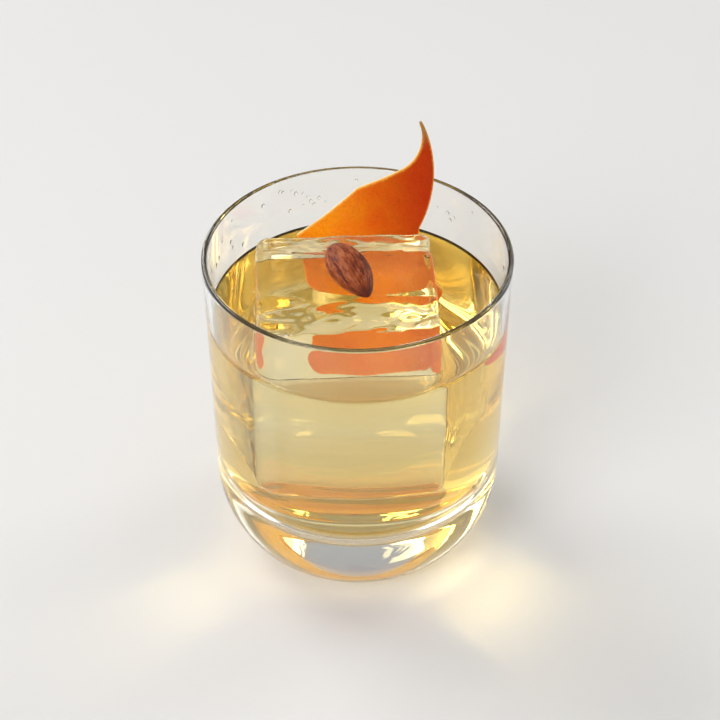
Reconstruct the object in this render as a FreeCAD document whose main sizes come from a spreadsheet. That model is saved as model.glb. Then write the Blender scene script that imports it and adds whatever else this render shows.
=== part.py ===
"""A tequila old fashioned in its glass: tumbler, drink, clear ice block, almond and orange peel.

Millimetres. The origin is the centre of the foot of the glass, +Z is up, and the drinker sits at -Y.
"""

import FreeCAD, Part
import math
import os
import Sketcher

# Each driving dimension: its name in the sheet, its value in mm or degrees, and what it is.
SIZES = (
    ("glass_height", 100.0, "foot to rim"),
    ("rim_radius", 44.0, "outside of the rim"),
    ("rim_flare", 0.4, "how far the rim stands out past the shoulder"),
    ("flare_depth", 12.0, "height of the flared stretch under the rim"),
    ("side_taper", 0.9, "how far the side draws in from the shoulder to the heel"),
    ("wall_thickness", 1.6, "wall of the glass"),
    ("heel_radius", 34.0, "upper curve between side and foot"),
    ("foot_radius", 13.0, "lower curve between side and foot"),
    ("foot_inset", 18.0, "flat foot's edge, in from the rim"),
    ("base_thickness", 16.0, "solid base under the drink"),
    ("bowl_radius", 24.0, "curve between the inside's floor and its side"),
    ("drink_gap", 19.5, "level of the drink, down from the rim"),
    ("ice_brim", 3.0, "top of the ice block, down from the rim"),
    ("ice_clearance", 0.4, "block's near left corner to the wall"),
    ("ice_left_bearing", 42.7, "near left corner, degrees left of straight ahead"),
    ("ice_right_bearing", 34.6, "near right corner, degrees right of straight ahead"),
    ("ice_turn", 2.8, "block's turn about the glass's axis, degrees"),
    ("ice_left_corner", 6.5, "melted upright edge, near left"),
    ("ice_right_corner", 3.5, "upright edges on the right"),
    ("ice_far_corner", 5.0, "melted upright edge, far left"),
    ("ice_top_edge", 1.6, "rounding of the block's top edges"),
    ("ice_low_edge", 3.0, "rounding of the block's bottom edges"),
    ("almond_length", 25.9, "blunt end to pointed end"),
    ("almond_width", 11.6, "across the kernel"),
    ("almond_height", 8.4, "through the kernel"),
    ("almond_heading", -67.6, "where the point faces, degrees from +X"),
    ("almond_right", 1.8, "kernel's middle, right of the block's middle"),
    ("almond_near", 1.3, "kernel's middle, nearer than the block's middle"),
    ("almond_lift", 0.05, "kernel's underside over the ice"),
    ("peel_thickness", 1.6, "zest and pith"),
    ("peel_curl_radius", 38.0, "peel's curve across its width"),
    ("peel_bow_radius", 150.0, "peel's curve along its height"),
    ("peel_wrap", 100.0, "arc of rind that the peel is cut from, degrees"),
    ("peel_lean", 16.0, "how far the peel leans back, degrees"),
    ("peel_right", 3.0, "peel's middle line, right of the glass's axis"),
    ("peel_drop", 20.0, "height that the peel's outline is dimensioned from, down from the rim"),
    ("peel_clearance", 0.5, "peel's round right side to the wall at the rim"),
    ("peel_gap", 0.9, "peel's foot to the block's far side"),
    ("peel_left", 21.1, "upper end of the left side, out from the middle line"),
    ("peel_foot_left", 18.5, "foot's left end, out from the middle line"),
    ("peel_foot", 25.0, "foot, under the dimensioned height"),
    ("peel_corner", 5.0, "rounding of the foot's two corners"),
    ("peel_shoulder", 7.2, "height of that end"),
    ("peel_knee_left", 3.0, "bend in the upper edge, left of the middle line"),
    ("peel_knee_rise", 23.4, "height of that bend"),
    ("peel_neck_right", 9.5, "where the upper edge starts to sweep up"),
    ("peel_neck_rise", 28.2, "height of that place"),
    ("peel_hook_radius", 9.2, "hollow sweep from neck to tip"),
    ("peel_tip_right", 15.9, "tip, right of the middle line"),
    ("peel_tip_rise", 41.0, "height of the tip"),
    ("peel_tip_width", 0.9, "blunt end of the tip"),
    ("peel_tip_radius", 0.6, "rounding of the tip"),
    ("peel_belly_radius", 31.0, "round right side under the tip"),
    ("peel_waist_right", 15.3, "lower end of the round right side"),
    ("peel_waist_rise", 10.6, "height of that place"),
    ("peel_flare_radius", 60.0, "hollow right side, from the waist to the foot"),
    ("peel_foot_right", 22.0, "foot's right end, out from the middle line"),
)

# Sizes that follow from the driving ones, as expressions over the sheet.
SHOULDER = "(sizes.rim_radius - sizes.rim_flare)"
SIDE = f"({SHOULDER} - sizes.side_taper)"
FOOT = "(sizes.rim_radius - sizes.foot_inset)"
INSIDE = f"({SIDE} - sizes.wall_thickness)"
SHOULDER_HEIGHT = "(sizes.glass_height - sizes.flare_depth)"
BOWL_HEIGHT = "(sizes.base_thickness + sizes.bowl_radius)"
DRINK_LEVEL = "(sizes.glass_height - sizes.drink_gap)"
HALF_WALL = "(sizes.wall_thickness / 2)"

# The heel's upper curve meets the side upright and the lower curve in one smooth line.
HEEL_SPAN = "(sizes.heel_radius - sizes.foot_radius)"
HEEL_CENTRE = f"({SIDE} - sizes.heel_radius)"
HEEL_RISE = f"sqrt({HEEL_SPAN}^2 - ({FOOT} - {HEEL_CENTRE})^2)"
HEEL_HEIGHT = f"(sizes.foot_radius + {HEEL_RISE})"
HEEL_JOIN = f"({HEEL_CENTRE} + sizes.heel_radius * ({FOOT} - {HEEL_CENTRE}) / {HEEL_SPAN})"
HEEL_JOIN_HEIGHT = f"({HEEL_HEIGHT} - sizes.heel_radius * {HEEL_RISE} / {HEEL_SPAN})"

# The peel leans back until its round right side just clears the wall at the rim. Its place is the
# centre of its curl, at the height its outline is dimensioned from.
LEAN = "(sizes.peel_lean * 1 deg)"
RIM_INSIDE = "(sizes.rim_radius - sizes.wall_thickness - sizes.peel_clearance)"
BELLY_CHORD = (
    "((sizes.peel_tip_rise - sizes.peel_waist_rise)^2"
    " + (sizes.peel_tip_right - sizes.peel_waist_right)^2)"
)
BELLY_DEPTH = f"(sizes.peel_belly_radius - sqrt(sizes.peel_belly_radius^2 - {BELLY_CHORD} / 4))"
BELLY_REACH = f"((sizes.peel_tip_right + sizes.peel_waist_right) / 2 + {BELLY_DEPTH})"
PEEL_BACK = "(sizes.peel_curl_radius - sizes.peel_thickness)"
BELLY_SAG = f"(sizes.peel_curl_radius - sqrt({PEEL_BACK}^2 - {BELLY_REACH}^2))"
PEEL_EDGE = f"({BELLY_REACH} + sizes.peel_right)"
PEEL_AT_RIM = f"(sqrt({RIM_INSIDE}^2 - {PEEL_EDGE}^2) - {BELLY_SAG} / cos({LEAN}))"


def peel_curl(height):
    """The peel's outer curl radius at a height above the middle of its bow."""
    return f"(sizes.peel_curl_radius - sizes.peel_bow_radius + sqrt(sizes.peel_bow_radius^2 - ({height})^2))"


PEEL_Y = f"({PEEL_AT_RIM} + {peel_curl('sizes.peel_drop')} * cos({LEAN}) - sizes.peel_drop * tan({LEAN}))"
PEEL_Z = f"(sizes.glass_height - sizes.peel_drop - sizes.peel_curl_radius * sin({LEAN}))"

# The block's near left corner just clears the wall, its underside seats on the bowl's curve,
# and its far side clears the foot of the peel.
ICE_CORNER = f"({INSIDE} - sizes.ice_clearance + (sqrt(2) - 1) * sizes.ice_left_corner)"
ICE_LEFT = f"(-{ICE_CORNER} * sin(sizes.ice_left_bearing * 1 deg))"
ICE_NEAR = f"(-{ICE_CORNER} * cos(sizes.ice_left_bearing * 1 deg))"
ICE_RIGHT = f"(-{ICE_NEAR} * tan(sizes.ice_right_bearing * 1 deg))"
ICE_FAR = (
    f"({PEEL_Y} - {peel_curl('sizes.peel_foot')} * cos({LEAN})"
    f" - sizes.peel_foot * sin({LEAN}) - sizes.peel_gap)"
)
ICE_TOP = "(sizes.glass_height - sizes.ice_brim)"
ICE_SEAT = f"({BOWL_HEIGHT} - sqrt(sizes.bowl_radius^2 - (sizes.bowl_radius - sizes.ice_clearance / 2)^2))"

ALMOND_STATIONS = 11
ALMOND_END = 0.012
ALMOND_FULLNESS = 0.62
ALMOND_POINT = 0.78

UPRIGHT = FreeCAD.Vector(0, 0, 1)


def make_sheet(document):
    """The spreadsheet that holds every driving dimension under its own name."""
    sheet = document.addObject("Spreadsheet::Sheet", "sizes")
    for row, (name, value, meaning) in enumerate(SIZES, start=1):
        sheet.set(f"A{row}", meaning)
        sheet.set(f"B{row}", str(value))
        sheet.setAlias(f"B{row}", name)
    document.recompute()
    return sheet


def number(owner, expression):
    """The present value of an expression over the sheet."""
    value = owner.evalExpression(expression)
    return float(getattr(value, "Value", value))


def add_body(document, label):
    body = document.addObject("PartDesign::Body", label)
    body.Label = label
    return body


def add_sketch(body, name, role):
    """A sketch on one of the body's own origin planes."""
    sketch = body.newObject("Sketcher::SketchObject", name)
    plane = next(feature for feature in body.Origin.OriginFeatures if feature.Role == role)
    sketch.AttachmentSupport = [(plane, "")]
    sketch.MapMode = "FlatFace"
    return sketch


def bind(sketch, kind, references, expression):
    """A dimension of a sketch, driven by the sheet."""
    value = number(sketch, expression)
    index = sketch.addConstraint(Sketcher.Constraint(kind, *references, value))
    sketch.setExpression(f"Constraints[{index}]", expression)


def arc_between(start, end, radius):
    """An arc from start to end, and whether it runs counterclockwise: a positive radius bulges right."""
    chord = end - start
    reach = math.sqrt(max(radius * radius - chord.Length * chord.Length / 4, 0))
    side = UPRIGHT.cross(chord).normalize() * math.copysign(reach, radius)
    centre = (start + end) / 2 + side
    ends = [math.atan2(point.y - centre.y, point.x - centre.x) for point in (start, end)]
    if radius < 0:
        ends.reverse()
    circle = Part.Circle(centre, UPRIGHT, abs(radius))
    return Part.ArcOfCircle(circle, ends[0], ends[1]), radius > 0


def draw_outline(sketch, corners):
    """A closed outline. Each corner is (x, y) or (x, y, radius): the radius is of the arc that leaves it,
    as seen going round; minus for an arc that is hollow when the outline runs counterclockwise."""
    places = [FreeCAD.Vector(number(sketch, c[0]), number(sketch, c[1]), 0) for c in corners]
    ends = []
    for index, corner in enumerate(corners):
        start = places[index]
        end = places[(index + 1) % len(corners)]
        if len(corner) == 2:
            edge = sketch.addGeometry(Part.LineSegment(start, end), False)
            ends.append(((edge, 1), (edge, 2)))
            continue
        hollow = corner[2].startswith("-")
        radius = number(sketch, corner[2])
        arc, forward = arc_between(start, end, radius)
        edge = sketch.addGeometry(arc, False)
        ends.append(((edge, 1), (edge, 2)) if forward else ((edge, 2), (edge, 1)))
        bind(sketch, "Radius", (edge,), corner[2][1:] if hollow else corner[2])
    for index, corner in enumerate(corners):
        sketch.addConstraint(Sketcher.Constraint("Coincident", *ends[index - 1][1], *ends[index][0]))
        for kind, expression in (("DistanceX", corner[0]), ("DistanceY", corner[1])):
            bind(sketch, kind, (-1, 1, *ends[index][0]), expression)


def revolve(body, sketch, angle=None):
    """Turns a sketch about its upright axis, all the way round or through an angle about the middle."""
    turned = body.newObject("PartDesign::Revolution", f"{sketch.Name}_turned")
    turned.Profile = sketch
    turned.ReferenceAxis = (sketch, ["V_Axis"])
    turned.Angle = 360.0
    if angle:
        turned.Midplane = True
        turned.setExpression("Angle", angle)
    return turned


def inside_corners():
    """The inside of the glass, from the middle of its floor up to its shoulder."""
    return [
        ("0", "sizes.base_thickness"),
        (f"{INSIDE} - sizes.bowl_radius", "sizes.base_thickness", "sizes.bowl_radius"),
        (INSIDE, BOWL_HEIGHT),
    ]


def make_glass(document):
    """The tumbler: heavy base, rounded heel, thin side and a fire-polished rim."""
    body = add_body(document, "glass")
    sketch = add_sketch(body, "glass_profile", "XZ_Plane")
    lip = f"sizes.glass_height - {HALF_WALL}"
    outside = [
        ("0", "0"),
        (FOOT, "0", "sizes.foot_radius"),
        (HEEL_JOIN, HEEL_JOIN_HEIGHT, "sizes.heel_radius"),
        (SIDE, HEEL_HEIGHT),
        (SHOULDER, SHOULDER_HEIGHT),
        ("sizes.rim_radius", lip, HALF_WALL),
        (f"sizes.rim_radius - {HALF_WALL}", "sizes.glass_height", HALF_WALL),
        ("sizes.rim_radius - sizes.wall_thickness", lip),
        (f"{SHOULDER} - sizes.wall_thickness", SHOULDER_HEIGHT),
    ]
    floor, bowl, side = inside_corners()
    hollow_bowl = (side[0], side[1], "-sizes.bowl_radius")
    draw_outline(sketch, outside + [hollow_bowl, (bowl[0], bowl[1]), floor])
    revolve(body, sketch)
    return body


def make_drink_fill(document):
    """All that the glass holds up to the drink's level, before the ice and the peel take their room."""
    body = add_body(document, "drink_fill")
    sketch = add_sketch(body, "drink_profile", "XZ_Plane")
    rise = f"({DRINK_LEVEL} - {BOWL_HEIGHT}) / ({SHOULDER_HEIGHT} - {BOWL_HEIGHT})"
    edge = f"{INSIDE} + sizes.side_taper * {rise}"
    draw_outline(sketch, inside_corners() + [(edge, DRINK_LEVEL), ("0", DRINK_LEVEL)])
    revolve(body, sketch)
    return body


def make_ice(document):
    """The clear block: near left corner against the wall, underside on the curve of the bowl."""
    body = add_body(document, "ice_block")
    body.setExpression("Placement.Rotation.Angle", "sizes.ice_turn * 1 deg")
    body.setExpression("Placement.Base.z", ICE_SEAT)
    sketch = add_sketch(body, "ice_plan", "XY_Plane")
    left, right, far = "sizes.ice_left_corner", "sizes.ice_right_corner", "sizes.ice_far_corner"
    corners = [
        (f"{ICE_LEFT} + {left}", ICE_NEAR),
        (f"{ICE_RIGHT} - {right}", ICE_NEAR, right),
        (ICE_RIGHT, f"{ICE_NEAR} + {right}"),
        (ICE_RIGHT, f"{ICE_FAR} - {right}", right),
        (f"{ICE_RIGHT} - {right}", ICE_FAR),
        (f"{ICE_LEFT} + {far}", ICE_FAR, far),
        (ICE_LEFT, f"{ICE_FAR} - {far}"),
        (ICE_LEFT, f"{ICE_NEAR} + {left}", left),
    ]
    draw_outline(sketch, corners)
    block = body.newObject("PartDesign::Pad", "ice_pad")
    block.Profile = sketch
    block.setExpression("Length", f"{ICE_TOP} - {ICE_SEAT}")
    document.recompute()
    round_face(document, body, block, "ice_top_round", max, "sizes.ice_top_edge")
    round_face(document, body, body.Tip, "ice_low_round", min, "sizes.ice_low_edge")
    return body


def round_face(document, body, base, name, choose, radius):
    """Rounds all edges of a body's highest or lowest flat face."""
    faces = base.Shape.Faces
    chosen = choose(range(len(faces)), key=lambda index: faces[index].CenterOfMass.z)
    rounded = body.newObject("PartDesign::Fillet", name)
    rounded.Base = (base, [f"Face{chosen + 1}"])
    rounded.setExpression("Radius", radius)
    body.Tip = rounded
    document.recompute()


def almond_share(station):
    """The kernel's half width there, as a share of its widest: round at 0, drawn to a point at 1."""
    def swell(place):
        return place**ALMOND_FULLNESS * (1 - place) ** ALMOND_POINT

    widest = ALMOND_FULLNESS / (ALMOND_FULLNESS + ALMOND_POINT)
    return swell(station) / swell(widest)


def make_almond(document):
    """The kernel: oval sections along its length, lying on the block."""
    sections = []
    for index in range(ALMOND_STATIONS):
        turn = math.pi * index / (ALMOND_STATIONS - 1)
        station = ALMOND_END + (1 - 2 * ALMOND_END) * (1 - math.cos(turn)) / 2
        share = almond_share(station)
        section = document.addObject("Part::Ellipse", f"almond_section_{index}")
        section.Placement.Rotation = FreeCAD.Rotation(FreeCAD.Vector(1, 1, 1), 120)
        section.setExpression("Placement.Base.x", f"sizes.almond_length * {station - 0.5:.5f}")
        section.setExpression("MajorRadius", f"sizes.almond_width / 2 * {share:.5f}")
        section.setExpression("MinorRadius", f"sizes.almond_height / 2 * {share:.5f}")
        sections.append(section)
    kernel = document.addObject("Part::Loft", "almond")
    kernel.Label = "almond"
    kernel.Sections = sections
    kernel.Solid = True
    kernel.setExpression("Placement.Base.x", f"({ICE_LEFT} + {ICE_RIGHT}) / 2 + sizes.almond_right")
    kernel.setExpression("Placement.Base.y", f"({ICE_NEAR} + {ICE_FAR}) / 2 - sizes.almond_near")
    kernel.setExpression("Placement.Base.z", f"{ICE_TOP} + sizes.almond_height / 2 + sizes.almond_lift")
    kernel.setExpression("Placement.Rotation.Angle", "sizes.almond_heading * 1 deg")
    return kernel


def make_rind(document):
    """A broad band of rind, curled across and bowed along, that the peel is cut from."""
    body = add_body(document, "rind")
    sketch = add_sketch(body, "rind_section", "YZ_Plane")
    reach = "(sizes.peel_tip_rise + sizes.peel_corner)"
    outer = peel_curl(reach)
    inner_bow = "(sizes.peel_bow_radius - sizes.peel_thickness)"
    inner = f"(sizes.peel_curl_radius - sizes.peel_bow_radius + sqrt({inner_bow}^2 - {reach}^2))"
    corners = [
        (f"-{inner}", f"-{reach}", f"-{inner_bow}"),
        (f"-{inner}", reach),
        (f"-{outer}", reach, "sizes.peel_bow_radius"),
        (f"-{outer}", f"-{reach}"),
    ]
    draw_outline(sketch, corners)
    revolve(body, sketch, "sizes.peel_wrap * 1 deg")
    return body


def make_peel(document):
    """The peel: a strip that stands on end behind the block and sweeps up to a point past the rim."""
    rind = make_rind(document)
    blank = add_body(document, "peel_blank")
    sketch = add_sketch(blank, "peel_outline", "XZ_Plane")
    corners = [
        ("-sizes.peel_foot_left + sizes.peel_corner", "-sizes.peel_foot"),
        ("sizes.peel_foot_right - sizes.peel_corner", "-sizes.peel_foot", "sizes.peel_corner"),
        ("sizes.peel_foot_right", "-sizes.peel_foot + sizes.peel_corner", "-sizes.peel_flare_radius"),
        ("sizes.peel_waist_right", "sizes.peel_waist_rise", "sizes.peel_belly_radius"),
        ("sizes.peel_tip_right", "sizes.peel_tip_rise", "sizes.peel_tip_radius"),
        ("sizes.peel_tip_right - sizes.peel_tip_width", "sizes.peel_tip_rise", "-sizes.peel_hook_radius"),
        ("sizes.peel_neck_right", "sizes.peel_neck_rise"),
        ("-sizes.peel_knee_left", "sizes.peel_knee_rise"),
        ("-sizes.peel_left", "sizes.peel_shoulder"),
        ("-sizes.peel_foot_left", "-sizes.peel_foot + sizes.peel_corner", "sizes.peel_corner"),
    ]
    draw_outline(sketch, corners)
    pad = blank.newObject("PartDesign::Pad", "peel_blank_pad")
    pad.Profile = sketch
    pad.setExpression("Length", "sizes.peel_curl_radius + sizes.peel_thickness")
    peel = document.addObject("Part::Common", "orange_peel")
    peel.Label = "orange_peel"
    peel.Base = rind
    peel.Tool = blank
    peel.Placement.Rotation = FreeCAD.Rotation(FreeCAD.Vector(-1, 0, 0), 1)
    peel.setExpression("Placement.Rotation.Angle", LEAN)
    peel.setExpression("Placement.Base.x", "sizes.peel_right")
    peel.setExpression("Placement.Base.y", PEEL_Y)
    peel.setExpression("Placement.Base.z", PEEL_Z)
    return peel


def make_drink(document, ice, peel):
    """The drink: what fills the glass up to its level, round the block and the peel."""
    around_ice = document.addObject("Part::Cut", "drink_round_ice")
    around_ice.Base = make_drink_fill(document)
    around_ice.Tool = ice
    drink = document.addObject("Part::Cut", "drink")
    drink.Label = "drink"
    drink.Base = around_ice
    drink.Tool = peel
    return drink


def check(document, parts):
    """Stops on any failed object, and on any sub-part that isn't a valid solid."""
    for item in document.Objects:
        if {"Invalid", "Error"} & set(item.State):
            raise RuntimeError(f"{item.Label}: {item.State}")
    for part in parts:
        shape = part.Shape
        if shape.isNull() or not shape.isValid() or len(shape.Solids) != 1:
            raise RuntimeError(f"{part.Label} isn't one valid solid")


def main():
    document = FreeCAD.newDocument("old_fashioned")
    make_sheet(document)
    glass = make_glass(document)
    ice = make_ice(document)
    almond = make_almond(document)
    peel = make_peel(document)
    drink = make_drink(document, ice, peel)
    document.recompute()
    parts = (glass, drink, ice, almond, peel)
    check(document, parts)
    os.makedirs("parts", exist_ok=True)
    for part in parts:
        part.Shape.exportStep(f"parts/{part.Label}.step")
        box = part.Shape.BoundBox
        low = [round(value, 1) for value in (box.XMin, box.YMin, box.ZMin)]
        high = [round(value, 1) for value in (box.XMax, box.YMax, box.ZMax)]
        print(f"{part.Label}: {part.Shape.Volume / 1000:.2f} cm3, {low} to {high}")


main()
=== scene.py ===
"""Looks of a tequila old fashioned: tumbler, drink, clear ice block, almond and orange peel.

Metres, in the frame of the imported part: origin at the centre of the glass's foot, +Z up, near side at -Y.
"""

import math

import bmesh
import bpy
import numpy as np
from mathutils import Matrix, Vector, noise
from mathutils.bvhtree import BVHTree
from mathutils.kdtree import KDTree


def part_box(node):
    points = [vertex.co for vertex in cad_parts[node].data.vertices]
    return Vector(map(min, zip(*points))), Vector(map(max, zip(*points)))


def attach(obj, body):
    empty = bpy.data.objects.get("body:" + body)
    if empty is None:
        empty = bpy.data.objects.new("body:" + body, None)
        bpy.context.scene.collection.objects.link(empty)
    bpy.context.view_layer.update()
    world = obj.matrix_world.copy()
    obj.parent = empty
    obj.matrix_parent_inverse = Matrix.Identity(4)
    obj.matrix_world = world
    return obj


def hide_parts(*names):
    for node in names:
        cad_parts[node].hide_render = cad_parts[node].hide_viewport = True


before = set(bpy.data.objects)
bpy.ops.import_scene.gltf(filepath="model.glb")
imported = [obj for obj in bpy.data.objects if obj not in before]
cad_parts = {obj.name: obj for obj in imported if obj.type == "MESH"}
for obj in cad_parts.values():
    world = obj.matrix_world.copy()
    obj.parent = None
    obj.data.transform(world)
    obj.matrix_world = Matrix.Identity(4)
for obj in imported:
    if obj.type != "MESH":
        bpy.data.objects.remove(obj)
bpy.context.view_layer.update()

MM = 0.001

# The glass: heights and radii of its profile.
GLASS_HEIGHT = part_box("glass")[1].z
RIM_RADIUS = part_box("glass")[1].x
WALL = 1.6 * MM
RIM_FLARE = 0.4 * MM
FLARE_DEPTH = 12.0 * MM
SIDE_TAPER = 0.9 * MM
HEEL_RADIUS = 34.0 * MM
FOOT_RADIUS = 13.0 * MM
FOOT_INSET = 18.0 * MM
FOOT_EDGE = RIM_RADIUS - FOOT_INSET
BASE_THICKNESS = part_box("drink")[0].z
BOWL_RADIUS = 24.0 * MM
DRINK_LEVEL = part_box("drink")[1].z
SHOULDER_RADIUS = RIM_RADIUS - RIM_FLARE
SIDE_RADIUS = SHOULDER_RADIUS - SIDE_TAPER
SHOULDER_HEIGHT = GLASS_HEIGHT - FLARE_DEPTH
BOWL_HEIGHT = BASE_THICKNESS + BOWL_RADIUS

# Facets round the glass and the drink, and steps along each stretch of their profiles.
TURNS = 256
FLAT_STEPS = 10
HEEL_STEPS = (24, 32)
BOWL_STEPS = 40
SIDE_STEPS = 24
FLARE_STEPS = 8
LIP_STEPS = 16

# Points of a profile that are nearer than TINY are one point. SLACK is for comparing a mesh's places.
TINY = 1e-7
SLACK = 1e-6

# Where one clear thing fills another, it reaches this far in, so that no air shows between them.
REACH_IN = 0.08 * MM


# ---------------------------------------------------------------- mesh helpers


def shade_smooth(mesh):
    """Smooth shading on all faces of the mesh."""
    mesh.polygons.foreach_set("use_smooth", [True] * len(mesh.polygons))


def add_object(name, data):
    """A new object with this data, in the scene."""
    item = bpy.data.objects.new(name, data)
    bpy.context.scene.collection.objects.link(item)
    return item


def make_object(name, vertices, faces):
    """A smoothly shaded mesh object at the origin, from points and faces."""
    mesh = bpy.data.meshes.new(name)
    mesh.from_pydata([tuple(v) for v in vertices], [], [tuple(f) for f in faces])
    mesh.update()
    shade_smooth(mesh)
    return add_object(name, mesh)


def arc(centre, radius, start, end, steps):
    """Points on an arc in the profile's plane; angles in degrees."""
    angles = np.radians(np.linspace(start, end, steps + 1))
    return [(centre[0] + radius * math.cos(a), centre[1] + radius * math.sin(a)) for a in angles]


def divided(start, end, steps):
    """Points from start to end along a straight line, both included."""
    first, last = np.array(start), np.array(end)
    return [tuple(first + (last - first) * k / steps) for k in range(steps + 1)]


def without_repeats(points):
    """The points, less each that lies on the one before it."""
    kept = [points[0]]
    for point in points[1:]:
        if math.dist(point, kept[-1]) > TINY:
            kept.append(point)
    return kept


def lathe(name, profile):
    """A closed solid of revolution. The profile runs from axis to axis, with the solid on its left."""
    inner = [p for p in without_repeats(profile) if p[0] > TINY]
    vertices = [(0, 0, profile[0][1]), (0, 0, profile[-1][1])]
    angles = np.arange(TURNS) * 2 * math.pi / TURNS
    for radius, height in inner:
        vertices += [(radius * math.cos(a), radius * math.sin(a), height) for a in angles]
    faces = []
    for k in range(TURNS):
        following = (k + 1) % TURNS
        faces.append((0, 2 + following, 2 + k))
        for row in range(len(inner) - 1):
            low, high = 2 + row * TURNS, 2 + (row + 1) * TURNS
            faces.append((low + k, low + following, high + following, high + k))
        last = 2 + (len(inner) - 1) * TURNS
        faces.append((1, last + k, last + following))
    return make_object(name, vertices, faces)


def points_of(item):
    """The places of the mesh's vertices, one row each."""
    found = np.zeros(len(item.data.vertices) * 3)
    item.data.vertices.foreach_get("co", found)
    return found.reshape(-1, 3)


def normals_of(item):
    """Which way the mesh faces at each vertex, one row each."""
    found = np.zeros(len(item.data.vertices) * 3, np.float32)
    item.data.vertices.foreach_get("normal", found)
    return found.reshape(-1, 3).astype(float)


def set_points(item, points):
    """Moves the mesh's vertices to these places."""
    item.data.vertices.foreach_set("co", np.asarray(points, np.float32).ravel())
    item.data.update()


def store(item, name, values):
    """Keeps one number per vertex on the mesh, for its material."""
    layer = item.data.attributes.new(name, "FLOAT", "POINT")
    layer.data.foreach_set("value", np.asarray(values, np.float32))


def apply_modifiers(item):
    """Puts the result of the object's modifiers in place of its mesh."""
    bpy.context.view_layer.update()
    solved = item.evaluated_get(bpy.context.evaluated_depsgraph_get())
    mesh = bpy.data.meshes.new_from_object(solved)
    item.modifiers.clear()
    item.data = mesh
    shade_smooth(mesh)


def remeshed_copy(node, name, voxel):
    """A fine, even mesh of a CAD node's shape, as a new object."""
    item = add_object(name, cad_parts[node].data.copy())
    item.data.materials.clear()
    remesh = item.modifiers.new("even", "REMESH")
    remesh.mode = "VOXEL"
    remesh.voxel_size = voxel
    remesh.use_smooth_shade = True
    apply_modifiers(item)
    return item


def noise_at(points, scale, seed):
    """Smooth noise from -1 to 1 at each point; scale is the size of its swells."""
    shift = Vector((seed * 17.13, seed * 5.71, seed * 9.37))
    return np.array([noise.noise(Vector(p) / scale + shift) for p in points])


def step(values, low, high):
    """0 below low, 1 above high and smooth between."""
    t = np.clip((np.asarray(values) - low) / (high - low), 0, 1)
    return t * t * (3 - 2 * t)


def step_below(values, edge, stretch):
    """0 further below edge than the first of stretch, 1 nearer to it than the second."""
    return step(values, edge - stretch[0], edge - stretch[1])


# ---------------------------------------------------------------- materials


class Nodes:
    """Short calls for building one material's node tree."""

    def __init__(self, name):
        self.material = bpy.data.materials.new(name)
        self.material.use_nodes = True
        self.tree = self.material.node_tree
        self.tree.nodes.clear()
        self.output = self.tree.nodes.new("ShaderNodeOutputMaterial")
        self.shader = self.tree.nodes.new("ShaderNodeBsdfPrincipled")
        self.tree.links.new(self.shader.outputs["BSDF"], self.output.inputs["Surface"])

    def add(self, kind, **settings):
        """A new node. A setting that the node doesn't have by itself is one of its inputs."""
        node = self.tree.nodes.new(kind)
        for key, value in settings.items():
            if hasattr(node, key):
                setattr(node, key, value)
            else:
                node.inputs[key.replace("_", " ").title()].default_value = value
        return node

    def link(self, source, target):
        self.tree.links.new(source, target)

    def coordinates(self):
        """The place in the object's own coordinates."""
        return self.add("ShaderNodeTexCoord").outputs["Object"]

    def noise(self, scale, detail, roughness=0.5):
        """Soft noise from 0 to 1, with scale swells to a metre."""
        node = self.add("ShaderNodeTexNoise", scale=scale, detail=detail, roughness=roughness)
        self.link(self.coordinates(), node.inputs["Vector"])
        return node.outputs["Fac"]

    def cells(self, scale):
        """How far it is to the nearest of scattered points, with scale of them to a metre."""
        node = self.add("ShaderNodeTexVoronoi", scale=scale)
        self.link(self.coordinates(), node.inputs["Vector"])
        return node.outputs["Distance"]

    def attribute(self, name):
        """A value that store has kept on the mesh."""
        return self.add("ShaderNodeAttribute", attribute_name=name).outputs["Fac"]

    def ramp(self, source, stops):
        """A colour that follows source, through stops of a place and a colour each."""
        node = self.add("ShaderNodeValToRGB")
        elements = node.color_ramp.elements
        while len(elements) < len(stops):
            elements.new(0.5)
        for element, (place, colour) in zip(elements, stops):
            element.position = place
            element.color = (*colour, 1)
        self.link(source, node.inputs["Fac"])
        return node.outputs["Color"]

    def mix(self, share, first, second, blend="MIX"):
        """One colour mixed into another; each value is a number, a colour or another node's output."""
        node = self.add("ShaderNodeMix", data_type="RGBA", blend_type=blend)
        sockets = {s.identifier: s for s in node.inputs}
        for value, key in ((share, "Factor_Float"), (first, "A_Color"), (second, "B_Color")):
            if isinstance(value, (int, float)):
                sockets[key].default_value = value
            elif isinstance(value, tuple):
                sockets[key].default_value = (*value, 1)
            else:
                self.link(value, sockets[key])
        return next(s for s in node.outputs if s.identifier == "Result_Color")

    def calc(self, kind, first, second):
        """Arithmetic with two values, each a number or another node's output."""
        node = self.add("ShaderNodeMath", operation=kind)
        for value, socket in zip((first, second), node.inputs):
            if isinstance(value, (int, float)):
                socket.default_value = value
            else:
                self.link(value, socket)
        return node.outputs[0]

    def bump(self, height, distance, strength):
        """Fine relief of the surface, in shading only."""
        node = self.add("ShaderNodeBump")
        node.inputs["Strength"].default_value = strength
        node.inputs["Distance"].default_value = distance
        self.link(height, node.inputs["Height"])
        self.link(node.outputs["Normal"], self.shader.inputs["Normal"])

    def set(self, **values):
        """Values for the surface shader's inputs, named with _ for each space."""
        for key, value in values.items():
            self.shader.inputs[key.replace("_", " ")].default_value = value


def grey(level):
    """The same level of red, green and blue."""
    return (level, level, level)


# How strongly each clear thing bends light, and what it takes from the colour of that light.
GLASS_IOR = 1.5
DRINK_IOR = 1.355
ICE_IOR = 1.31
WATER_IOR = 1.33
GLASS_TINT = (0.97, 0.985, 0.98)
DRINK_TINT = (0.980, 0.800, 0.10)
DRINK_DENSITY = 32.0


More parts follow.
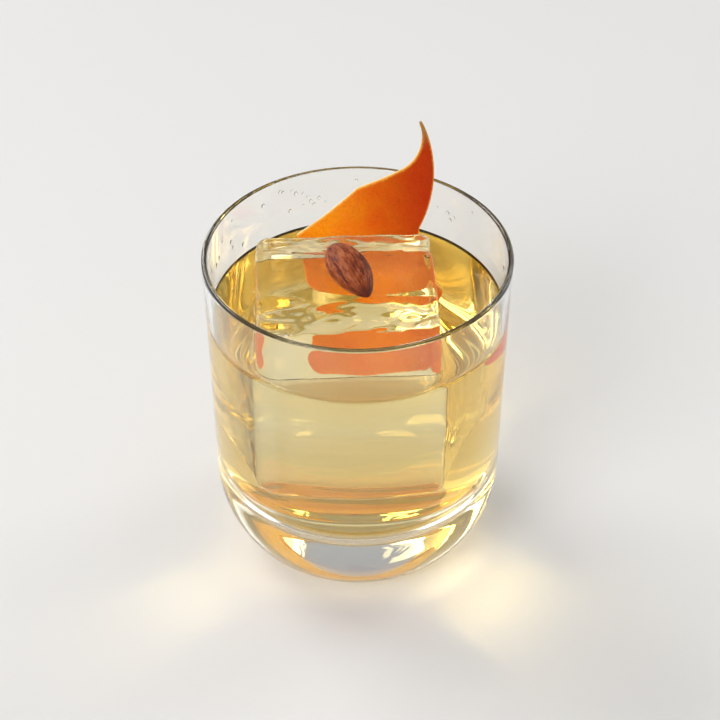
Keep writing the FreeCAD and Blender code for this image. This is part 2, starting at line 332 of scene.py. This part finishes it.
def clear_material(name, ior, tint=(1, 1, 1)):
    """The nodes of a material that light goes straight through."""
    made = Nodes(name)
    made.set(Base_Color=(*tint, 1), Roughness=0.0, IOR=ior, Transmission_Weight=1.0)
    return made


def drink_material():
    """Pale gold by what it absorbs, so that it deepens with the length of drink looked through."""
    made = clear_material("pale_gold_drink", DRINK_IOR)
    volume = made.add("ShaderNodeVolumeAbsorption")
    volume.inputs["Color"].default_value = (*DRINK_TINT, 1)
    volume.inputs["Density"].default_value = DRINK_DENSITY
    made.link(volume.outputs["Volume"], made.output.inputs["Volume"])
    return made.material


def almond_material():
    """Brown skin: painted shade in its furrows and a painted highlight on its ridges, darker at its point,
    in uneven blotches.
    """
    made = Nodes("almond_skin")
    furrow_shade, side, ridge_highlight = (0.09, 0.012, 0.004), (0.33, 0.060, 0.011), (0.52, 0.165, 0.060)
    blotch = made.noise(260.0, 5.0, 0.6)
    # Painted shade in the furrows and a painted highlight on the crests of the wrinkles.
    skin = made.ramp(made.attribute("ridge_highlight"), [(0.0, furrow_shade), (0.45, side), (1.0, ridge_highlight)])
    darkening = made.ramp(blotch, [(0.35, (0.70, 0.64, 0.62)), (0.7, grey(1.0))])
    made.link(made.mix(1.0, skin, darkening, "MULTIPLY"), made.shader.inputs["Base Color"])
    rough = made.ramp(blotch, [(0.3, grey(0.38)), (0.7, grey(0.66))])
    made.link(rough, made.shader.inputs["Roughness"])
    made.set(Specular_IOR_Level=0.20)
    made.bump(made.noise(1100.0, 4.0, 0.6), 0.18 * MM, 0.8)
    return made.material


def peel_material():
    """Pored zest outside and pale pith inside, by the values of peel_looks."""
    made = Nodes("orange_zest_and_pith")
    orange, yellow = (0.94, 0.17, 0.001), (0.99, 0.32, 0.001)
    # The middle one of these is a darker red, painted shade for the right side of the zest.
    in_pores, shaded_right, in_the_drink = (0.62, 0.08, 0.001), (0.56, 0.018, 0.001), (0.74, 0.17, 0.001)
    at_the_cut, dried = (0.97, 0.42, 0.05), (0.42, 0.23, 0.07)
    inner_pith, outer_pith = (0.90, 0.66, 0.30), (0.96, 0.80, 0.50)
    depth = made.attribute("depth")
    tone = made.noise(75.0, 4.0, 0.55)
    pores = made.cells(1050.0)
    pit = made.calc("MULTIPLY", made.calc("LESS_THAN", pores, 0.2), 0.35)
    zest = made.ramp(tone, [(0.3, orange), (0.7, yellow)])
    zest = made.mix(pit, zest, in_pores)
    # Painted shade: the zest turns a darker red towards its right side.
    zest = made.mix(made.attribute("right_shade"), zest, shaded_right)
    zest = made.mix(made.attribute("wet"), zest, in_the_drink)
    zest = made.mix(made.attribute("rim"), zest, at_the_cut)
    pith = made.ramp(tone, [(0.3, inner_pith), (0.75, outer_pith)])
    flesh = made.ramp(depth, [(0.22, grey(0.0)), (0.50, grey(1.0))])
    skin = made.mix(flesh, zest, pith)
    made.link(made.mix(made.attribute("tip"), skin, dried), made.shader.inputs["Base Color"])
    rough = made.ramp(depth, [(0.2, grey(0.42)), (0.6, grey(0.8))])
    made.link(rough, made.shader.inputs["Roughness"])
    made.set(Specular_IOR_Level=0.1)
    made.bump(pores, 0.20 * MM, 1.0)
    return made.material


# The glow added to what is seen of the floor: each distance from its middle (m) and the strength there.
FLOOR_LIFT = ((0.35, 0.18), (1.0, 0.42))


def floor_material():
    """Pale and matt. What is seen of it, straight, mirrored or through glass, is lifted towards white,
    further out up to the backdrop's paleness."""
    made = Nodes("pale_floor")
    darker, paler = (0.62, 0.617, 0.61), (0.635, 0.632, 0.625)
    tone = made.ramp(made.noise(3.0, 2.0), [(0.3, darker), (0.7, paler)])
    made.link(tone, made.shader.inputs["Base Color"])
    made.set(Roughness=0.6, Emission_Color=(1.0, 0.99, 0.97, 1))
    path = made.add("ShaderNodeLightPath")
    seen = made.calc("ADD", path.outputs["Is Camera Ray"], path.outputs["Is Transmission Ray"])
    seen = made.calc("MINIMUM", made.calc("ADD", seen, path.outputs["Is Glossy Ray"]), 1.0)
    away = made.add("ShaderNodeVectorMath", operation="LENGTH")
    made.link(made.coordinates(), away.inputs[0])
    lift = made.ramp(away.outputs["Value"], [(place, grey(level)) for place, level in FLOOR_LIFT])
    made.link(made.calc("MULTIPLY", seen, lift), made.shader.inputs["Emission Strength"])
    return made.material


# ---------------------------------------------------------------- the glass


def heel_points():
    """The outside from the foot's edge to the upright side: a tight curve into a wide one."""
    span = HEEL_RADIUS - FOOT_RADIUS
    centre = SIDE_RADIUS - HEEL_RADIUS
    rise = math.sqrt(span**2 - (FOOT_EDGE - centre) ** 2)
    meet = math.degrees(math.atan2(-rise, FOOT_EDGE - centre))
    low = arc((FOOT_EDGE, FOOT_RADIUS), FOOT_RADIUS, -90, meet, HEEL_STEPS[0])
    high = arc((centre, FOOT_RADIUS + rise), HEEL_RADIUS, meet, 0, HEEL_STEPS[1])
    return low + high[1:]


def inside_points(grow=0.0, top=None):
    """The inside from the middle of its floor up to a height, moved outwards by grow."""
    bowl = arc((SIDE_RADIUS - WALL - BOWL_RADIUS, BOWL_HEIGHT), BOWL_RADIUS + grow, -90, 0, BOWL_STEPS)
    floor = divided((0, BASE_THICKNESS - grow), bowl[0], FLAT_STEPS)
    low = bowl[-1]
    high = (SHOULDER_RADIUS - WALL + grow, SHOULDER_HEIGHT)
    if top is not None:
        share = (top - low[1]) / (high[1] - low[1])
        high = (low[0] + share * (high[0] - low[0]), top)
    return floor[:-1] + bowl[:-1] + divided(low, high, SIDE_STEPS)


def make_glass():
    """The tumbler: foot, round heel, side and flared stretch outside, a round lip, and the inside."""
    lip = WALL / 2
    heel = heel_points()
    shoulder = (SHOULDER_RADIUS, SHOULDER_HEIGHT)
    outside = divided((0, 0), heel[0], FLAT_STEPS)[:-1] + heel
    outside += divided(heel[-1], shoulder, SIDE_STEPS)[1:]
    outside += divided(shoulder, (RIM_RADIUS, GLASS_HEIGHT - lip), FLARE_STEPS)[1:]
    rim = arc((RIM_RADIUS - lip, GLASS_HEIGHT - lip), lip, 0, 180, LIP_STEPS)
    inside = inside_points()
    drop = divided(rim[-1], inside[-1], FLARE_STEPS)
    glass = lathe("tumbler", outside + rim[1:] + drop[1:] + inside[-2::-1])
    glass.data.materials.append(clear_material("clear_glass", GLASS_IOR, GLASS_TINT).material)
    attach(glass, "root")
    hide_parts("glass")


# ---------------------------------------------------------------- the ice

ICE_VOXEL = 0.65 * MM

# The noises that melt the block: how finely each varies along x, y and z, its size and its seed.
BROAD = ((1, 1, 1), 15 * MM, 1)
SWIRL = ((0.75, 1.3, 1.0), 6.0 * MM, 2)
RIPPLE = ((0.6, 1.5, 1.0), 2.4 * MM, 3)
FOLD = ((0.7, 1.2, 1.0), 9.0 * MM, 9)

# How far in they melt it, in millimetres: its sides, its whole top, and the top's far and near side.
SIDE_BROAD, SIDE_SWIRL, CREST_SWIRL = 0.35, 0.10, 0.30
TOP_BROAD = 0.12
FAR_SWIRL, FAR_RIPPLE = 0.80, 0.50
NEAR_FOLD, NEAR_SWIRL, NEAR_RIPPLE = 1.7, 0.9, 0.15

# Where each sets in and where it is full: by how far a face looks up, by the distance from the far
# side, from the near side, from the top and from the almond, and by the value of a hollow's noise.
TOP_FACING = (0.25, 0.8)
FAR_STRETCH = (13 * MM, 7 * MM)
NEAR_STRETCH = (17 * MM, 12 * MM)
CREST_STRETCH = (14 * MM, 1 * MM)
ALMOND_STRETCH = (6 * MM, 13 * MM)
HOLLOW_RANGE = (-0.05, 0.45)


def ice_noise(points, kind):
    """One of the block's noises at each point."""
    fineness, size, seed = kind
    return noise_at(points * np.array(fineness), size, seed)


def ice_melt(points, normals):
    """How far in the block has melted at each point, in millimetres: nowhere is ice added.

    Its top is rippled along the far side, hollowed along the near side, and smooth near the almond."""
    low, high = (np.array(c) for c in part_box("ice_block"))
    almond = (np.array(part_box("almond")[0]) + np.array(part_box("almond")[1])) / 2
    broad, swirl = ice_noise(points, BROAD), ice_noise(points, SWIRL)
    ripple, fold = ice_noise(points, RIPPLE), ice_noise(points, FOLD)
    from_almond = np.hypot(points[:, 0] - almond[0], points[:, 1] - almond[1])
    top = step(normals[:, 2], *TOP_FACING)
    far = step_below(points[:, 1], high[1], FAR_STRETCH)
    near = step_below(-points[:, 1], -low[1], NEAR_STRETCH)
    clear = step(from_almond, *ALMOND_STRETCH)
    crest = step_below(points[:, 2], high[2], CREST_STRETCH)
    sides = SIDE_BROAD * (1 + broad) + SIDE_SWIRL * (1 + swirl)
    sides += crest * CREST_SWIRL * (1 + swirl)
    flat = TOP_BROAD * (1 + broad)
    flat += clear * far * (FAR_SWIRL * (1 + swirl) + FAR_RIPPLE * (1 + ripple))
    hollows = NEAR_FOLD * step(fold, *HOLLOW_RANGE) + NEAR_SWIRL * step(swirl, *HOLLOW_RANGE)
    flat += clear * near * (hollows + NEAR_RIPPLE * (1 + ripple))
    return sides + top * (flat - sides)


def make_ice():
    """The block: the CAD block's shape, melted in soft swells."""
    block = remeshed_copy("ice_block", "clear_ice_block", ICE_VOXEL)
    points, normals = points_of(block), normals_of(block)
    melt = ice_melt(points, normals)
    set_points(block, points - normals * (melt * MM)[:, None])
    block.data.materials.append(clear_material("clear_ice", ICE_IOR).material)
    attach(block, "root")
    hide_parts("ice_block")
    return block


# ---------------------------------------------------------------- the drink

# How high the drink climbs where it touches something, how fast that fades, and the rings of its
# surface, which lie closer together near the wall.
MENISCUS = 0.9 * MM
MENISCUS_REACH = 1.4 * MM
SURFACE_RINGS = 64
RING_CROWDING = 1.25


def tree_of(item):
    """A search tree of the object's faces."""
    return BVHTree.FromObject(item, bpy.context.evaluated_depsgraph_get())


def distance_to(tree, points):
    """How far each point is from the faces of the tree."""
    return np.array([tree.find_nearest(Vector(p))[3] for p in points])


def raise_meniscus(drink, edge, others):
    """Lets the flat surface climb near the wall, where its radius is edge, and near the others."""
    inner = edge - REACH_IN
    points = points_of(drink)
    radius = np.hypot(points[:, 0], points[:, 1])
    surface = (points[:, 2] > DRINK_LEVEL - SLACK) & (radius < edge - SLACK)
    chosen = points[surface]
    rise = np.exp(-(inner - np.minimum(radius[surface], inner)) / MENISCUS_REACH)
    for other in others:
        rise = np.maximum(rise, np.exp(-distance_to(tree_of(other), chosen) / MENISCUS_REACH))
    chosen[:, 2] = DRINK_LEVEL + MENISCUS * rise
    points[surface] = chosen
    set_points(drink, points)


def hollow_out(drink, ice):
    """Takes the ice's room out of the drink, less the stretch that the drink reaches into the ice."""
    cutter = make_object("ice_cutter", [], [])
    cutter.data = ice.data.copy()
    set_points(cutter, points_of(ice) - normals_of(ice) * REACH_IN)
    cut = drink.modifiers.new("ice", "BOOLEAN")
    cut.operation = "DIFFERENCE"
    cut.solver = "MANIFOLD"
    cut.object = cutter
    apply_modifiers(drink)
    bpy.data.objects.remove(cutter)


def make_drink(ice, peel):
    """The drink: a little into the wall, climbing at wall, ice and peel, and hollow where the ice is."""
    side = inside_points(REACH_IN, DRINK_LEVEL + MENISCUS)
    edge = side[-1][0]
    rings = [edge * (1 - (k / SURFACE_RINGS) ** RING_CROWDING) for k in range(1, SURFACE_RINGS)]
    drink = lathe("drink_body", side + [(r, DRINK_LEVEL) for r in rings] + [(0, DRINK_LEVEL)])
    raise_meniscus(drink, edge, (ice, peel))
    hollow_out(drink, ice)
    drink.data.materials.clear()
    drink.data.materials.append(drink_material())
    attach(drink, "root")
    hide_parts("drink")


# ---------------------------------------------------------------- droplets on the wall

# The drops hang about a bearing with a spread (degrees) and at a rise over the drink (mm). Their
# sizes are in millimetres. How far each is drawn upright, how thick it is, how much its lower half
# sags and how far its middle stands in the wall are shares of its size.
DROPLETS = 46
DROPLET_SEED = 4
DROPLET_BEARING = (118, 42)
DROPLET_RISE = (3.5, 16)
DROPLET_SIZE = (0.22, 0.62)
DROPLET_STRETCH = (1.0, 1.5)
DROPLET_DEPTH = 0.55
DROPLET_SAG = 0.18
DROPLET_STAND = 0.12


def inner_radius(height):
    """The glass's inside between the bowl and the flare."""
    share = (height - BOWL_HEIGHT) / (SHOULDER_HEIGHT - BOWL_HEIGHT)
    return SIDE_RADIUS - WALL + share * SIDE_TAPER


def make_droplets():
    """Small flattened drops on the inside of the wall above the drink, most of them at the back."""
    chance = np.random.default_rng(DROPLET_SEED)
    drops = bmesh.new()
    for _ in range(DROPLETS):
        bearing = math.radians(chance.normal(*DROPLET_BEARING))
        height = DRINK_LEVEL + chance.uniform(*DROPLET_RISE) * MM
        size = chance.uniform(*DROPLET_SIZE) * MM
        around = Vector((math.cos(bearing), math.sin(bearing), 0))
        wall = inner_radius(height) + max(0, height - SHOULDER_HEIGHT) * RIM_FLARE / FLARE_DEPTH
        seat = around * (wall + DROPLET_STAND * size) + Vector((0, 0, height))
        turned = around.to_track_quat("X", "Z").to_matrix().to_4x4()
        stretch = chance.uniform(*DROPLET_STRETCH)
        shape = Matrix.Diagonal((DROPLET_DEPTH * size, size, size * stretch, 1))
        made = bmesh.ops.create_icosphere(drops, subdivisions=3, radius=1.0)
        for vertex in made["verts"]:
            sag = 1 + DROPLET_SAG * max(0, -vertex.co.z)
            vertex.co = seat + turned @ (shape @ Vector((vertex.co.x, vertex.co.y * sag, vertex.co.z)))
    mesh = bpy.data.meshes.new("wall_droplets")
    drops.to_mesh(mesh)
    drops.free()
    shade_smooth(mesh)
    item = add_object("wall_droplets", mesh)
    mesh.materials.append(clear_material("droplet_water", WATER_IOR).material)
    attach(item, "root")


# ---------------------------------------------------------------- the almond

# Which way its point faces, round from +X, and its size. Its outline's two exponents make it full at
# the blunt end and narrower at the point.
ALMOND_HEADING = math.radians(-67.6)
ALMOND_LENGTH = 25.9 * MM
ALMOND_WIDTH = 11.6 * MM
ALMOND_HEIGHT = 8.4 * MM
ALMOND_FULLNESS = 0.62
ALMOND_POINT = 0.78
ALMOND_ROWS = 149
ALMOND_TURNS = 160
ALMOND_SINK = 0.1 * MM

# Each kind of wrinkle in its skin: its share, how finely it varies round and along, and a shift. The
# wrinkles wind round it by WIND radians as they run along. The skin's level and relief are shares of
# the kernel's size.
WRINKLES = ((0.35, 3.2, 2.4, 0), (0.50, 7.5, 9.0, 7), (0.35, 12.0, 24.0, 13))
WIND, WIND_RATE, WIND_START = 0.25, 2.2, 0.4
SKIN_LEVEL = 0.965
SKIN_RELIEF = 0.075

# How strongly the wrinkles show in the skin's colour as painted shade and highlight, how much darker it
# gets over the stretch before the point, and its values at the very ends.
WRINKLE_SHADING = 1.15
POINT_DARKNESS = 0.85
POINT_STRETCH = (0.80, 0.95)
END_RIDGES = (0.4, 0.1)


def almond_share(place):
    """The kernel's width at a place from 0 (blunt end) to 1 (point), as a share of its widest."""
    widest = ALMOND_FULLNESS / (ALMOND_FULLNESS + ALMOND_POINT)
    swell = place**ALMOND_FULLNESS * (1 - place) ** ALMOND_POINT
    return swell / (widest**ALMOND_FULLNESS * (1 - widest) ** ALMOND_POINT)


def wrinkle_at(angle, place):
    """How far the skin stands out, from about -1 to 1."""
    total = 0
    for share, around, along, shift in WRINKLES:
        where = Vector((around * math.cos(angle), around * math.sin(angle), along * place + shift))
        total += share * noise.noise(where)
    return total


def almond_skin():
    """The kernel's points, in rows from the blunt end on and then its two ends, and for each point how high
    on the wrinkles it lies, from 0 to 1, which paints shade in the furrows and highlight on the crests."""
    points, ridges = [], []
    for row in range(1, ALMOND_ROWS + 1):
        place = (1 - math.cos(math.pi * row / (ALMOND_ROWS + 1))) / 2
        share = almond_share(place)
        # Darker over the stretch before the point.
        darkening = 1 - POINT_DARKNESS * step(place, *POINT_STRETCH)
        wind = WIND * math.sin(WIND_RATE * place + WIND_START)
        for turn in range(ALMOND_TURNS):
            angle = 2 * math.pi * turn / ALMOND_TURNS
            wrinkle = wrinkle_at(angle + wind, place)
            grow = SKIN_LEVEL + SKIN_RELIEF * wrinkle
            y = ALMOND_WIDTH / 2 * share * math.cos(angle) * grow
            z = ALMOND_HEIGHT / 2 * share * math.sin(angle) * grow
            points.append(((place - 0.5) * ALMOND_LENGTH, y, z))
            # Painted shade in the furrows and painted highlight on the crests, with less of the highlight
            # towards the point.
            ridges.append(min(1, max(0, 0.5 + WRINKLE_SHADING * wrinkle)) * darkening)
    points += [(-0.5 * ALMOND_LENGTH, 0, 0), (0.5 * ALMOND_LENGTH, 0, 0)]
    return points, ridges + list(END_RIDGES)


def almond_faces():
    """The faces over the points of almond_skin, closed at both ends."""
    first = ALMOND_ROWS * ALMOND_TURNS
    end = first - ALMOND_TURNS
    faces = []
    for turn in range(ALMOND_TURNS):
        following = (turn + 1) % ALMOND_TURNS
        faces.append((first, turn, following))
        for low in range(0, end, ALMOND_TURNS):
            high = low + ALMOND_TURNS
            faces.append((low + turn, high + turn, high + following, low + following))
        faces.append((first + 1, end + following, end + turn))
    return faces


def make_almond(ice):
    """The kernel, with the long wrinkles of its skin as relief, lying on the ice."""
    skin, ridges = almond_skin()
    kernel = make_object("whole_almond", skin, almond_faces())
    store(kernel, "ridge_highlight", ridges)
    kernel.data.transform(Matrix.Rotation(ALMOND_HEADING, 4, "Z"))
    low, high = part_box("almond")
    points = points_of(kernel)
    middle = (points.min(0) + points.max(0)) / 2
    points += np.array((low + high) / 2) - middle
    above = Vector(((low.x + high.x) / 2, (low.y + high.y) / 2, high.z + 10 * MM))
    seat = tree_of(ice).ray_cast(above, Vector((0, 0, -1)))[0].z
    points[:, 2] += seat - ALMOND_SINK - points[:, 2].min()
    set_points(kernel, points)
    kernel.data.materials.append(almond_material())
    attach(kernel, "root")
    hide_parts("almond")


# ---------------------------------------------------------------- the peel

PEEL_VOXEL = 0.28 * MM
PEEL_THICKNESS = 1.6 * MM

# The rind's outside is the part of its surface that looks at least this far towards -Y. The part
# between these shares of the thickness under it is the cut edge.
OUTWARD = -0.62
CUT_DEPTHS = (0.3, 0.7)

# How strong the dried tip, the painted shade of the darker, redder right side and the soaking of the drink
# are at their most.
TIP_SHARE, SHADE_SHARE, WET_SHARE = 0.8, 0.9, 0.5

# Where they fade or set in: the paler rim by the distance from the cut, the tip and the painted shade by
# that from the top, the painted shade also from the left and right ends, and the soaking round the level.
RIM_STRETCH = (0.35 * MM, 0.95 * MM)
TIP_STRETCH = (8 * MM, 1 * MM)
SHADE_STRETCH = (39 * MM, 29 * MM)
SHADE_LEFT, SHADE_RIGHT = 8 * MM, 3 * MM
WET_BELOW, WET_ABOVE = 1 * MM, 2 * MM

# The rind swells towards -Y in places, from a stretch over its foot on. Down to the depth PITTED its
# outside is uneven with pits.
SWELL_DEPTH, SWELL_SIZE, SWELL_SEED = 0.5 * MM, 8 * MM, 5
SWELL_STRETCH = (6 * MM, 20 * MM)
PIT_DEPTH, PIT_SIZE, PIT_SEED = 0.09 * MM, 1.3 * MM, 6
PITTED = 0.1


def nearest(points, chosen):
    """How far each point is from the nearest of the chosen ones."""
    tree = KDTree(len(chosen))
    for place, point in enumerate(chosen):
        tree.insert(Vector(point), place)
    tree.balance()
    return np.array([tree.find(Vector(p))[2] for p in points])


def peel_looks(points, normals, low, high):
    """What the material goes by, from 0 to 1 at each point: depth under the outside, rim at the cut
    edge, tip at the dried point, painted shade on the right where the zest is darker and redder, and wet in
    the drink."""
    outside = points[normals[:, 1] < OUTWARD]
    depth = np.clip(nearest(points, outside) / PEEL_THICKNESS, 0, 1)
    cut = points[(depth > CUT_DEPTHS[0]) & (depth < CUT_DEPTHS[1])]
    rim = 1 - step(nearest(points, cut), *RIM_STRETCH)
    tip = TIP_SHARE * step_below(points[:, 2], high.z, TIP_STRETCH)
    # Painted shade on the right side of the zest, nearer the top.
    right_shade = SHADE_SHARE * step(points[:, 0], low.x + SHADE_LEFT, high.x - SHADE_RIGHT)
    right_shade *= step_below(points[:, 2], high.z, SHADE_STRETCH)
    wet = WET_SHARE * (1 - step(points[:, 2], DRINK_LEVEL - WET_BELOW, DRINK_LEVEL + WET_ABOVE))
    return {"depth": depth, "rim": rim, "tip": tip, "right_shade": right_shade, "wet": wet}


def peel_relief(points, normals, depth, foot):
    """The points moved by the rind's soft swells over its foot and the pits of its outside."""
    swell = 0.5 + 0.5 * noise_at(points * np.array([1, 0, 1]), SWELL_SIZE, SWELL_SEED)
    swell *= step(points[:, 2], foot + SWELL_STRETCH[0], foot + SWELL_STRETCH[1]) * SWELL_DEPTH
    pits = noise_at(points, PIT_SIZE, PIT_SEED) * np.where(depth < PITTED, PIT_DEPTH, 0)
    return points - np.array([0, 1, 0]) * swell[:, None] + normals * pits[:, None]


def make_peel():
    """The peel: zest outside with fine pores, pale pith inside and at its cut edges."""
    peel = remeshed_copy("orange_peel", "pointed_orange_peel", PEEL_VOXEL)
    points, normals = points_of(peel), normals_of(peel)
    low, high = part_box("orange_peel")
    looks = peel_looks(points, normals, low, high)
    set_points(peel, peel_relief(points, normals, looks["depth"], low.z))
    for name, values in looks.items():
        store(peel, name, values)
    peel.data.materials.append(peel_material())
    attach(peel, "root")
    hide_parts("orange_peel")
    return peel


# ---------------------------------------------------------------- stage, light and camera

# The foot stands this far off the floor, so that the two faces don't lie in one plane.
FLOOR_GAP = 0.3 * MM
FLOOR_RADIUS = 1.3
FLOOR_TURNS = 96


def make_floor():
    """A plain round floor, wide enough for every view."""
    angles = [2 * math.pi * turn / FLOOR_TURNS for turn in range(FLOOR_TURNS)]
    rim = [(FLOOR_RADIUS * math.cos(a), FLOOR_RADIUS * math.sin(a), -FLOOR_GAP) for a in angles]
    floor = make_object("floor", rim, [tuple(range(FLOOR_TURNS))])
    floor.data.materials.append(floor_material())


# Each soft box: name, place, size, power in watts, and colour. All face the middle of the drink.
LAMPS = (
    ("key", (-1.0, 0.9, 1.0), (0.9, 0.9), 3.1, (1.0, 0.985, 0.96)),
    ("fill", (1.2, 0.9, 0.7), (0.6, 1.0), 1.45, (1, 1, 1)),
    ("front", (-0.9, -1.3, 1.2), (0.9, 0.8), 3.4, (1, 1, 1)),
)
LAMP_AIM = (0, 0, 0.05)
LAMP_SPREAD = math.radians(80)


def add_light(name, place, size, power, colour):
    """A soft box that keeps its light near its axis, so that the floor below it isn't overlit."""
    lamp = bpy.data.lights.new(name, "AREA")
    lamp.spread = LAMP_SPREAD
    lamp.shape = "RECTANGLE"
    lamp.size, lamp.size_y = size
    lamp.energy = power
    lamp.color = colour
    item = add_object(name, lamp)
    item.location = place
    item.rotation_euler = (Vector(LAMP_AIM) - Vector(place)).to_track_quat("-Z", "Y").to_euler()


# How bright the studio is at each height, from the horizon (0) to overhead (1): a pale backdrop all
# round, darker walls above it and a paler ceiling.
SKY = ((0.08, 0.82), (0.16, 0.62), (0.36, 0.26), (0.85, 0.44))


def make_lights():
    """The pale studio round the object and its three soft boxes."""
    world = bpy.data.worlds.new("studio")
    bpy.context.scene.world = world
    world.use_nodes = True
    tree = world.node_tree
    background = tree.nodes["Background"]
    place = tree.nodes.new("ShaderNodeTexCoord")
    apart = tree.nodes.new("ShaderNodeSeparateXYZ")
    ramp = tree.nodes.new("ShaderNodeValToRGB")
    tree.links.new(place.outputs["Generated"], apart.inputs["Vector"])
    tree.links.new(apart.outputs["Z"], ramp.inputs["Fac"])
    tree.links.new(ramp.outputs["Color"], background.inputs["Color"])
    elements = ramp.color_ramp.elements
    while len(elements) < len(SKY):
        elements.new(0.5)
    for element, (height, level) in zip(elements, SKY):
        element.position = height
        element.color = (*grey(level), 1)
    for lamp in LAMPS:
        add_light(*lamp)


# The photo's view: the camera's distance from the middle of the rim, its angle over it, how far it is
# pitched down and turned to the right, and its focal length and film width in millimetres.
VIEW_DISTANCE = 0.55
VIEW_ELEVATION = math.radians(36.25)
VIEW_PITCH = math.radians(39.4)
VIEW_TURN = math.radians(0.09)
LENS = 97.6
FILM_WIDTH = 36


def make_camera():
    """Looks down on the glass from in front, as the photo does."""
    lens = bpy.data.cameras.new("view")
    lens.lens = LENS
    lens.sensor_width = FILM_WIDTH
    item = add_object("view", lens)
    back = Vector((0, -math.cos(VIEW_ELEVATION), math.sin(VIEW_ELEVATION)))
    item.location = Vector((0, 0, GLASS_HEIGHT)) + back * VIEW_DISTANCE
    item.rotation_euler = (math.pi / 2 - VIEW_PITCH, 0, -VIEW_TURN)
    bpy.context.scene.camera = item


def set_rendering():
    """Plain colours, and enough bounces to pass through glass, drink and ice and back."""
    scene = bpy.context.scene
    scene.view_settings.view_transform = "Standard"
    scene.cycles.max_bounces = 32
    scene.cycles.transmission_bounces = 32
    scene.cycles.glossy_bounces = 12
    scene.cycles.diffuse_bounces = 6
    scene.cycles.blur_glossy = 0.0


make_camera()
make_glass()
ice = make_ice()
peel = make_peel()
make_drink(ice, peel)
make_droplets()
make_almond(ice)
make_floor()
make_lights()
set_rendering()
